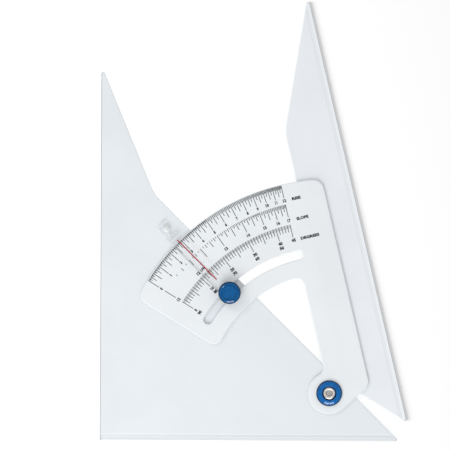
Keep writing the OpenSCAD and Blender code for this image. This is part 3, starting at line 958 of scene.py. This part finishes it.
def rivet_outline(shank_r):
    """Outline of the rivet: flat lower head, shank, and upper end rolled outwards into a crown."""
    foot, top = foot_of("pivot_rivet"), top_of("pivot_rivet")
    head_r = radius_of("pivot_rivet")
    bore_r = radii_at("pivot_rivet", PIVOT, top)[0]
    floor = min(v.co.z for v in frame["nodes"]["pivot_rivet"].data.vertices
                if abs((v.co.xy - PIVOT.xy).length - bore_r) < TOUCH)
    middle_r, half = (bore_r + head_r) / 2, (head_r - bore_r) / 2
    crown = []
    for step in range(CURVE_STEPS + 1):
        angle = math.pi * step / CURVE_STEPS
        crown.append((middle_r + half * math.cos(angle), top - CROWN_H + CROWN_H * math.sin(angle), 0))
    return soft_outline([
        (0, foot, 0), (head_r, foot, RIVET_FOOT_ROUND), (head_r, foot + RIVET_HEAD_T, RIVET_HEAD_ROUND),
        (shank_r, foot + RIVET_HEAD_T, 0), (shank_r, top - RIVET_HEAD_T, 0),
        (head_r, top - RIVET_HEAD_T, 0), *crown, (bore_r, floor, 0), (0, floor, 0)])


def raised_rib(radius, width, length):
    """Rounded rib across the cursor's foot at a distance from the pivot."""
    rib = add_primitive("rib", "cube", size=1)
    rib.scale = (length, width, 2 * RIB_H)
    bpy.ops.object.transform_apply(location=True, rotation=True, scale=True)
    pick_edges(rib, lambda ends, normals: all(end.z > 0 for end in ends))
    edit("EDGE")
    bpy.ops.mesh.bevel(offset=min(width, RIB_H) * RIB_EASE, segments=3, affect="EDGES")
    bpy.ops.object.mode_set(mode="OBJECT")
    spot = PIVOT.xy + radius * TO_LOCK
    turn = Matrix.Rotation(math.radians(LOCK_POLAR - 90), 4, "Z")
    rib.data.transform(Matrix.Translation((*spot, FOOT_TOP)) @ turn)
    bpy.ops.object.shade_smooth_by_angle(angle=math.radians(SMOOTH_ANGLE))
    return rib


# ---- The pieces ----

class PieceOperator:
    """What the operators share."""

    bl_options = {"REGISTER", "UNDO"}


class SETSQUARE_OT_base_plate(PieceOperator, bpy.types.Operator):
    """Rounds the base plate's outline and gives it its satin finish"""

    bl_idname = "set_square.base_plate"
    bl_label = "Base plate"

    def execute(self, context):
        look = context.scene.set_square_sheets
        plate = copy_of_node("base_plate", "base_plate_sheet")
        keep = [(PIVOT, HINGE_CLEAR), (LOCK, LOCK_CLEAR), (PIN, PIN_CLEAR)]
        round_edges(plate, outline_edges(keep), look.edge_round)
        finish = sheet_finish("base_sheet", look.base_colour, look, look.solidity, across=BASE_ACROSS,
                              edge=(look.base_slope, look.base_ledge, PAINTED_SHADE_LEFT))
        place_piece(plate, "base", finish, "base_sheet", "base_plate")
        return {"FINISHED"}


class SETSQUARE_OT_swing_arm(PieceOperator, bpy.types.Operator):
    """Rounds the swing arm's outline, gives it its satin finish and coats the bond film"""

    bl_idname = "set_square.swing_arm"
    bl_label = "Swing arm"

    def execute(self, context):
        look = context.scene.set_square_sheets
        arm = copy_of_node("swing_arm", "swing_arm_sheet")
        round_edges(arm, outline_edges([(PIVOT, HINGE_CLEAR)]), look.edge_round)
        finish = sheet_finish("arm_sheet", look.arm_colour, look, look.solidity,
                              edge=(look.arm_slope, look.arm_ledge, PAINTED_SHADE_RIGHT))
        place_piece(arm, "arm", finish, "arm_sheet", "swing_arm")
        coat_node("arm_bond", dull_finish("bond_film", shade(look.arm_colour, 0.97), 0.5))
        return {"FINISHED"}


class SETSQUARE_OT_scale_plate(PieceOperator, bpy.types.Operator):
    """Rounds the curved scale plate, which is more see-through than the sheets below it"""

    bl_idname = "set_square.scale_plate"
    bl_label = "Scale plate"

    def execute(self, context):
        look = context.scene.set_square_sheets
        plate = copy_of_node("scale_plate", "scale_plate_sheet")
        round_edges(plate, outline_edges([(PIVOT, HINGE_CLEAR)]), look.scale_round)
        finish = sheet_finish("scale_sheet", look.scale_colour, look, look.scale_solidity)
        place_piece(plate, "arm", finish, "scale_sheet", "scale_plate")
        return {"FINISHED"}


class SETSQUARE_OT_rise_scale(PieceOperator, bpy.types.Operator):
    """Prints the outer scale: rise in inches on a run of twelve"""

    bl_idname = "set_square.rise_scale"
    bl_label = "Rise scale"

    def execute(self, context):
        look = context.scene.set_square_print
        values = [i / RISE_PARTS for i in range(RUN * RISE_PARTS + 1)
                  if i <= FINE_TO * RISE_PARTS or i % 2 == 0]
        fine, coarse = (look.fine_line_w, look.fine_l), (look.coarse_line_w, look.coarse_l)
        lines = [(rise_reading(v), *line_size(look, v, fine if v < FINE_TO else coarse)) for v in values]
        digits = [numeral(look, str(v), rise_reading(v), RISE_R - look.rise_digit_in)
                  for v in range(RUN + 1)]
        word = ("RISE", look.rise_word_at, RISE_R - look.rise_word_in, look.word_h,
                look.rise_word_w, math.radians(READING))
        edge = arc_bar("rise_line", RISE_R - look.arc_w, RISE_R)
        printed_scale("rise_print", "rise_marks", RISE_R, lines, [*digits, word], [edge])
        return {"FINISHED"}


class SETSQUARE_OT_slope_scale(PieceOperator, bpy.types.Operator):
    """Prints the middle scale: slope in inches on a run of twelve"""

    bl_idname = "set_square.slope_scale"
    bl_label = "Slope scale"

    def execute(self, context):
        look = context.scene.set_square_print
        values = [RUN + i / SLOPE_PARTS for i in range(SLOPE_SPAN * SLOPE_PARTS)]
        fine, coarse = (look.slope_line_w, look.fine_l), (look.coarse_line_w, look.coarse_l)
        lines = [(slope_reading(v), *line_size(look, v, fine if v < SLOPE_FINE_TO else coarse))
                 for v in values]
        labels = [(str(v), v) for v in range(RUN, RUN + SLOPE_SPAN)] + [("12 1/4", RUN + 0.25)]
        digits = [numeral(look, text, slope_reading(v), SLOPE_R - look.slope_digit_in)
                  for text, v in labels]
        last = numeral(look, str(RUN + SLOPE_SPAN), FULL_READING, SLOPE_R - look.slope_digit_in)
        word = ("SLOPE", look.slope_word_at, SLOPE_R - look.slope_word_in, look.word_h,
                look.slope_word_w, math.radians(READING))
        lines.append((FULL_READING, look.line_w, look.whole_l))
        printed_scale("slope_print", "slope_marks", SLOPE_R, lines, [*digits, last, word])
        return {"FINISHED"}


class SETSQUARE_OT_degree_scale(PieceOperator, bpy.types.Operator):
    """Prints the inner scale: degrees, numbered both ways"""

    bl_idname = "set_square.degree_scale"
    bl_label = "Degree scale"

    def execute(self, context):
        look = context.scene.set_square_print
        lines = []
        for i in range(FULL_READING * DEGREE_PARTS + 1):
            reading = i / DEGREE_PARTS
            if i % DEGREE_PARTS:
                lines.append((reading, look.fine_line_w, look.degree_fine_l))
            elif reading % 10 == 0 or reading == FULL_READING:
                lines.append((reading, look.line_w, look.whole_l))
            else:
                lines.append((reading, look.line_w, look.half_l if reading % 5 == 0 else look.quarter_l))
        words = [numeral(look, str(FULL_READING), FULL_READING, DEGREE_R - look.degree_digit_in)]
        for tens in range(0, FULL_READING, 10):
            outer = DEGREE_R - look.degree_digit_in
            words.append(numeral(look, str(tens), tens, outer))
            words.append(numeral(look, str(90 - tens), tens, outer - look.degree_pair_in))
        words.append(("DEGREES", look.degree_word_at, DEGREE_R - look.degree_word_in, look.word_h,
                      look.degree_word_w, math.radians(READING)))
        printed_scale("degree_print", "degree_marks", DEGREE_R, lines, words)
        return {"FINISHED"}


class SETSQUARE_OT_cursor(PieceOperator, bpy.types.Operator):
    """Moulded clear cursor with its red reading line and its pin"""

    bl_idname = "set_square.cursor"
    bl_label = "Cursor"

    def execute(self, context):
        look = context.scene.set_square_fittings
        # The cursor's plastic, with a line of painted shade along one side
        clear = clear_finish("clear_cursor", look.clear_colour, 0, CURSOR_HALF_W)
        cursor = copy_of_node("cursor", "cursor_moulding")
        # The pad round the lock clears the ink that passes under it
        for vertex in cursor.data.vertices:
            if abs(vertex.co.z - PRINT_Z) < TOUCH:
                vertex.co.z += PAD_LIFT * INK_T
        holes = [(LOCK, LOCK_CLEAR), (PIN, PIN_HOLE_CLEAR)]
        round_edges(cursor, step_edges(), look.step_round, segments=4)
        round_edges(cursor, sharp_edges(holes, least=40), look.cursor_round, segments=2)
        place_piece(cursor, "base", clear, "clear_cursor", "cursor")
        # Pin and ribs: whiter, frosted plastic that also serves as a painted highlight for their bright
        # lines
        frosted_highlight = clear_finish("frosted_cursor", look.clear_colour, 0.5)
        pin = copy_of_node("cursor_pin", "cursor_pin_moulding")
        settle_mesh(smooth_angle=40)
        place_piece(pin, "base", frosted_highlight, "clear_cursor", "cursor_pin")
        ribs = [raised_rib(radius, width, length) for radius, width, length in CURSOR_RIBS]
        place_piece(join_pieces("cursor_ribs", ribs), "base", frosted_highlight, "clear_cursor")
        coat_node("cursor_hairline", ink_finish("red_line_ink", look.line_colour))
        return {"FINISHED"}


class SETSQUARE_OT_knob(PieceOperator, bpy.types.Operator):
    """Blue clamp knob: rounded body, dished cap and brass insert"""

    bl_idname = "set_square.knob"
    bl_label = "Knob"

    def execute(self, context):
        look = context.scene.set_square_fittings
        blue = blue_finish("knob_plastic", look.knob_colour, LOCK, look.knob_gloss)
        foot, top = foot_of("lock_knob"), top_of("lock_knob")
        cap_foot, cap_top = foot_of("knob_cap"), top_of("knob_cap")
        knob_r, cap_r = radius_of("lock_knob"), radius_of("knob_cap")
        seat_r = radii_at("lock_knob", LOCK, top)[0]
        insert_r = radii_at("lock_knob", LOCK, foot)[0]
        bore_r = radii_at("lock_knob", LOCK, cap_foot)[0]
        insert_top = top_of("knob_insert")
        side_r = knob_r - KNOB_DRAFT
        shoulder = top - (side_r - look.knob_bevel) * math.tan(look.knob_slope)
        body = soft_outline([
            (insert_r, foot, 0), (knob_r, foot, KNOB_FOOT_ROUND), (side_r, shoulder, look.bevel_round),
            (look.knob_bevel, top, KNOB_RIM_ROUND), (seat_r, top, SEAT_ROUND), (seat_r, cap_foot, 0),
            (bore_r, cap_foot, 0), (bore_r, insert_top, 0), (insert_r, insert_top, 0)])
        place_piece(turned_piece("knob_body", body, LOCK, FINE_TURN_STEPS), "knob", blue, "blue_knob",
                    "lock_knob")
        shares = [i / CURVE_STEPS for i in range(CURVE_STEPS + 1)]
        dish = [(DISH_R * share, cap_top - DISH_DEPTH * (1 - share ** 2), 0) for share in shares]
        cap = soft_outline([*dish, (cap_r, cap_top, CAP_ROUND), (cap_r, cap_foot, 0), (0, cap_foot, 0)])
        place_piece(turned_piece("knob_dished_cap", cap, LOCK), "knob", blue, "blue_knob", "knob_cap")
        coat_node("knob_insert", metal_finish("turned_brass", linear(196, 160, 92), 0.2 * MM))
        return {"FINISHED"}


class SETSQUARE_OT_lock_hardware(PieceOperator, bpy.types.Operator):
    """Lock screw, clamp washer and slot bush under the knob"""

    bl_idname = "set_square.lock_hardware"
    bl_label = "Lock hardware"

    def execute(self, context):
        steel = metal_finish("zinc_steel", linear(196, 199, 203), 0.25 * MM)
        for node in ("lock_screw", "clamp_washer"):
            piece = copy_of_node(node, f"{node}_turned")
            round_edges(piece, sharp_edges([]), HARDWARE_ROUND, segments=2)
            place_piece(piece, body_of(node), steel, "screw_steel", node)
        coat_node("slot_bush", dull_finish("natural_nylon", linear(226, 226, 220)))
        return {"FINISHED"}


class SETSQUARE_OT_hinge(PieceOperator, bpy.types.Operator):
    """Blue hinge ring, rolled rivet and the washers inside the hinge"""

    bl_idname = "set_square.hinge"
    bl_label = "Hinge"

    def execute(self, context):
        look = context.scene.set_square_fittings
        foot, top = foot_of("pivot_ring"), top_of("pivot_ring")
        bore_r, spigot_r = radii_at("pivot_ring", PIVOT, foot)
        recess_r = radii_at("pivot_ring", PIVOT, top)[0]
        floor = max(v.co.z for v in frame["nodes"]["pivot_ring"].data.vertices
                    if (v.co.xy - PIVOT.xy).length < bore_r + 0.1 * MM)
        outer_r = radius_of("pivot_ring")
        shoulder = top - (outer_r - look.ring_bevel) * math.tan(look.ring_slope)
        ring = soft_outline([
            (bore_r, foot, 0), (spigot_r, foot, 0), (spigot_r, PRINT_Z, 0),
            (outer_r, PRINT_Z, RING_FOOT_ROUND), (outer_r, shoulder, look.bevel_round),
            (look.ring_bevel, top, RING_RIM_ROUND), (recess_r, top, RECESS_ROUND),
            (recess_r, floor, RECESS_FLOOR_ROUND), (bore_r, floor, 0)])
        place_piece(turned_piece("hinge_ring", ring, PIVOT, FINE_TURN_STEPS), "arm",
                    blue_finish("ring_plastic", look.ring_colour, PIVOT, look.ring_gloss), "blue_ring",
                    "pivot_ring")
        # The rivet's bore takes painted shade below a depth under its top
        metal = metal_finish("rivet_nickel", look.metal_colour, 0.3 * MM, dents=1.0,
                             below=top_of("pivot_rivet") - BORE_SHADE_DEPTH)
        place_piece(turned_piece("rolled_rivet", rivet_outline(bore_r - RIVET_PLAY), PIVOT), "base", metal,
                    "rivet_metal", "pivot_rivet")
        for node in ("pivot_back_washer", "pivot_spring_washer"):
            coat_node(node, metal)
        coat_node("pivot_friction_washer", dull_finish("friction_nylon", linear(226, 226, 220)))
        return {"FINISHED"}


# ---- Studio ----

SENSOR_W = 36
TABLE_R = 4
# Pieces on which the near lamp makes the long highlights
GLOSSY_PIECES = ("knob_body", "knob_dished_cap", "hinge_ring", "rolled_rivet")
# The table lies this far below the part. It lets through the camera's rays from below, and other rays
# shorter than CLOSE, so that the part's underside is lit.
TABLE_GAP = 0.02 * MM
CLOSE = 1 * MM
# Light on a level surface, width and height in metres, and direction from above and angle above the
# table in degrees
LAMPS = {
    "side_lamp": (0.28, 0.8, 0.8, -112, 42),
    "near_lamp": (0.33, 0.8, 0.13, -86, 40),
    "far_lamp": (0.07, 0.3, 0.12, 140, 44),
    "table_lamp": (1.0, 0.9, 0.9, -170, 37),
}


def add_lamp(name, centre, distance):
    """Rectangular soft lamp that adds its level of light on a level surface round the centre."""
    level, width, height, side, rise = LAMPS[name]
    side, rise = math.radians(side), math.radians(rise)
    lamp = bpy.data.lights.new(name, "AREA")
    lamp.shape = "RECTANGLE"
    lamp.size, lamp.size_y = width, height
    lamp.energy = level * (math.pi * distance) ** 2 / math.sin(rise)
    toward = Vector((math.cos(side) * math.cos(rise), math.sin(side) * math.cos(rise), math.sin(rise)))
    lamp_at = bpy.data.objects.new(name, lamp)
    lamp_at.location = centre + toward * distance
    lamp_at.rotation_euler = toward.to_track_quat("Z", "Y").to_euler()
    bpy.context.scene.collection.objects.link(lamp_at)
    return lamp_at


def linked_set(name, pieces, state):
    """Light-linking set that takes in some pieces, or leaves them out."""
    linked = bpy.data.collections.new(name)
    for piece in pieces:
        linked.objects.link(piece)
    for entry in linked.collection_objects:
        entry.light_linking.link_state = state
    return linked


class SETSQUARE_OT_studio(PieceOperator, bpy.types.Operator):
    """White table, even sky, soft lamps and the camera straight above"""

    bl_idname = "set_square.studio"
    bl_label = "Studio"

    def execute(self, context):
        scene = context.scene
        look = scene.set_square_studio
        centre = Vector((look.view_x, look.view_y, 0))

        table = add_primitive("table_top", "circle", vertices=64, radius=TABLE_R, fill_type="NGON",
                              location=(centre.x, centre.y, -TABLE_GAP))
        bpy.ops.object.transform_apply(location=True, rotation=True, scale=True)
        white = Finish("white_table", {"Base Color": (look.table_tone,) * 3 + (1,), "Roughness": 1,
                                       "Specular IOR Level": 0, "Emission Strength": 1})
        glow = white.mix((0, 0, 0), (look.table_glow,) * 3, white.sight_rays())
        white.feed("Emission Color", glow)
        below = white.node("ShaderNodeNewGeometry", output="Backfacing")
        ray = white.node("ShaderNodeLightPath", output="Ray Length")
        camera_ray = white.node("ShaderNodeLightPath", output="Is Camera Ray")
        from_underside = (1 - camera_ray) * (1 - ray.ramp(CLOSE, 1.01 * CLOSE))
        white.feed("Alpha", 1 - below.most(from_underside))
        table.data.materials.append(white.material)

        world = bpy.data.worlds.new("even_sky")
        scene.world = world
        world.use_nodes = True
        sky = Shading(world.node_tree, "Background", {"Color": (1, 1, 1, 1)})
        span = {"Value": sky.sight_rays(), "To Min": look.sky_level, "To Max": 1}
        sky.feed("Strength", sky.node("ShaderNodeMapRange", None, span))

        glossy = [bpy.data.objects[name] for name in GLOSSY_PIECES]
        lit = {
            "side_lamp": ("not_by_side_lamp", [table, *glossy], "EXCLUDE"),
            "near_lamp": ("by_near_lamp", glossy, "INCLUDE"),
            "far_lamp": ("not_by_far_lamp", [table], "EXCLUDE"),
            "table_lamp": ("by_table_lamp", [table], "INCLUDE"),
        }
        for name, pieces in lit.items():
            lamp_at = add_lamp(name, centre, look.lamp_distance)
            lamp_at.light_linking.receiver_collection = linked_set(*pieces)
        # The last lamp, over the table, throws the arm's shadow alone
        arm = bpy.data.objects["swing_arm_sheet"]
        lamp_at.light_linking.blocker_collection = linked_set("shades_table", [arm], "INCLUDE")

        camera = bpy.data.cameras.new("overhead_camera")
        camera.sensor_width = SENSOR_W
        camera.lens = SENSOR_W * look.camera_h / look.view_w
        camera.clip_end = 20
        camera_at = bpy.data.objects.new("overhead_camera", camera)
        camera_at.location = centre + Vector((0, 0, look.camera_h))
        camera_at.rotation_euler = (0, 0, look.view_turn)
        scene.collection.objects.link(camera_at)
        scene.camera = camera_at
        scene.view_settings.view_transform = "Standard"
        return {"FINISHED"}


# ---- Panel and registration ----

OPERATORS = (
    SETSQUARE_OT_base_plate,
    SETSQUARE_OT_swing_arm,
    SETSQUARE_OT_scale_plate,
    SETSQUARE_OT_rise_scale,
    SETSQUARE_OT_slope_scale,
    SETSQUARE_OT_degree_scale,
    SETSQUARE_OT_cursor,
    SETSQUARE_OT_knob,
    SETSQUARE_OT_lock_hardware,
    SETSQUARE_OT_hinge,
    SETSQUARE_OT_studio,
)


class SETSQUARE_PT_panel(bpy.types.Panel):
    """Steps that dress the set square, in order"""

    bl_idname = "SETSQUARE_PT_panel"
    bl_label = "Set square"
    bl_space_type = "VIEW_3D"
    bl_region_type = "UI"
    bl_category = "Set square"

    def draw(self, context):
        for group in LOOKS:
            box = self.layout.box()
            for prop in LOOKS[group].__annotations__:
                box.prop(getattr(context.scene, group), prop)
        for operator in OPERATORS:
            self.layout.operator(operator.bl_idname)


def register():
    """Makes the settings, the operators and the panel known to Blender."""
    for name, group in LOOKS.items():
        bpy.utils.register_class(group)
        setattr(bpy.types.Scene, name, bpy.props.PointerProperty(type=group))
    for entry in (*OPERATORS, SETSQUARE_PT_panel):
        bpy.utils.register_class(entry)


def unregister():
    """Takes them away again."""
    for entry in reversed((*OPERATORS, SETSQUARE_PT_panel)):
        bpy.utils.unregister_class(entry)
    for name, group in reversed(LOOKS.items()):
        delattr(bpy.types.Scene, name)
        bpy.utils.unregister_class(group)


def main():
    """Dresses the set square piece by piece."""
    register()
    for operator in OPERATORS:
        step = operator.bl_idname.split(".")[1]
        getattr(bpy.ops.set_square, step)()


if __name__ == "__main__":
    main()
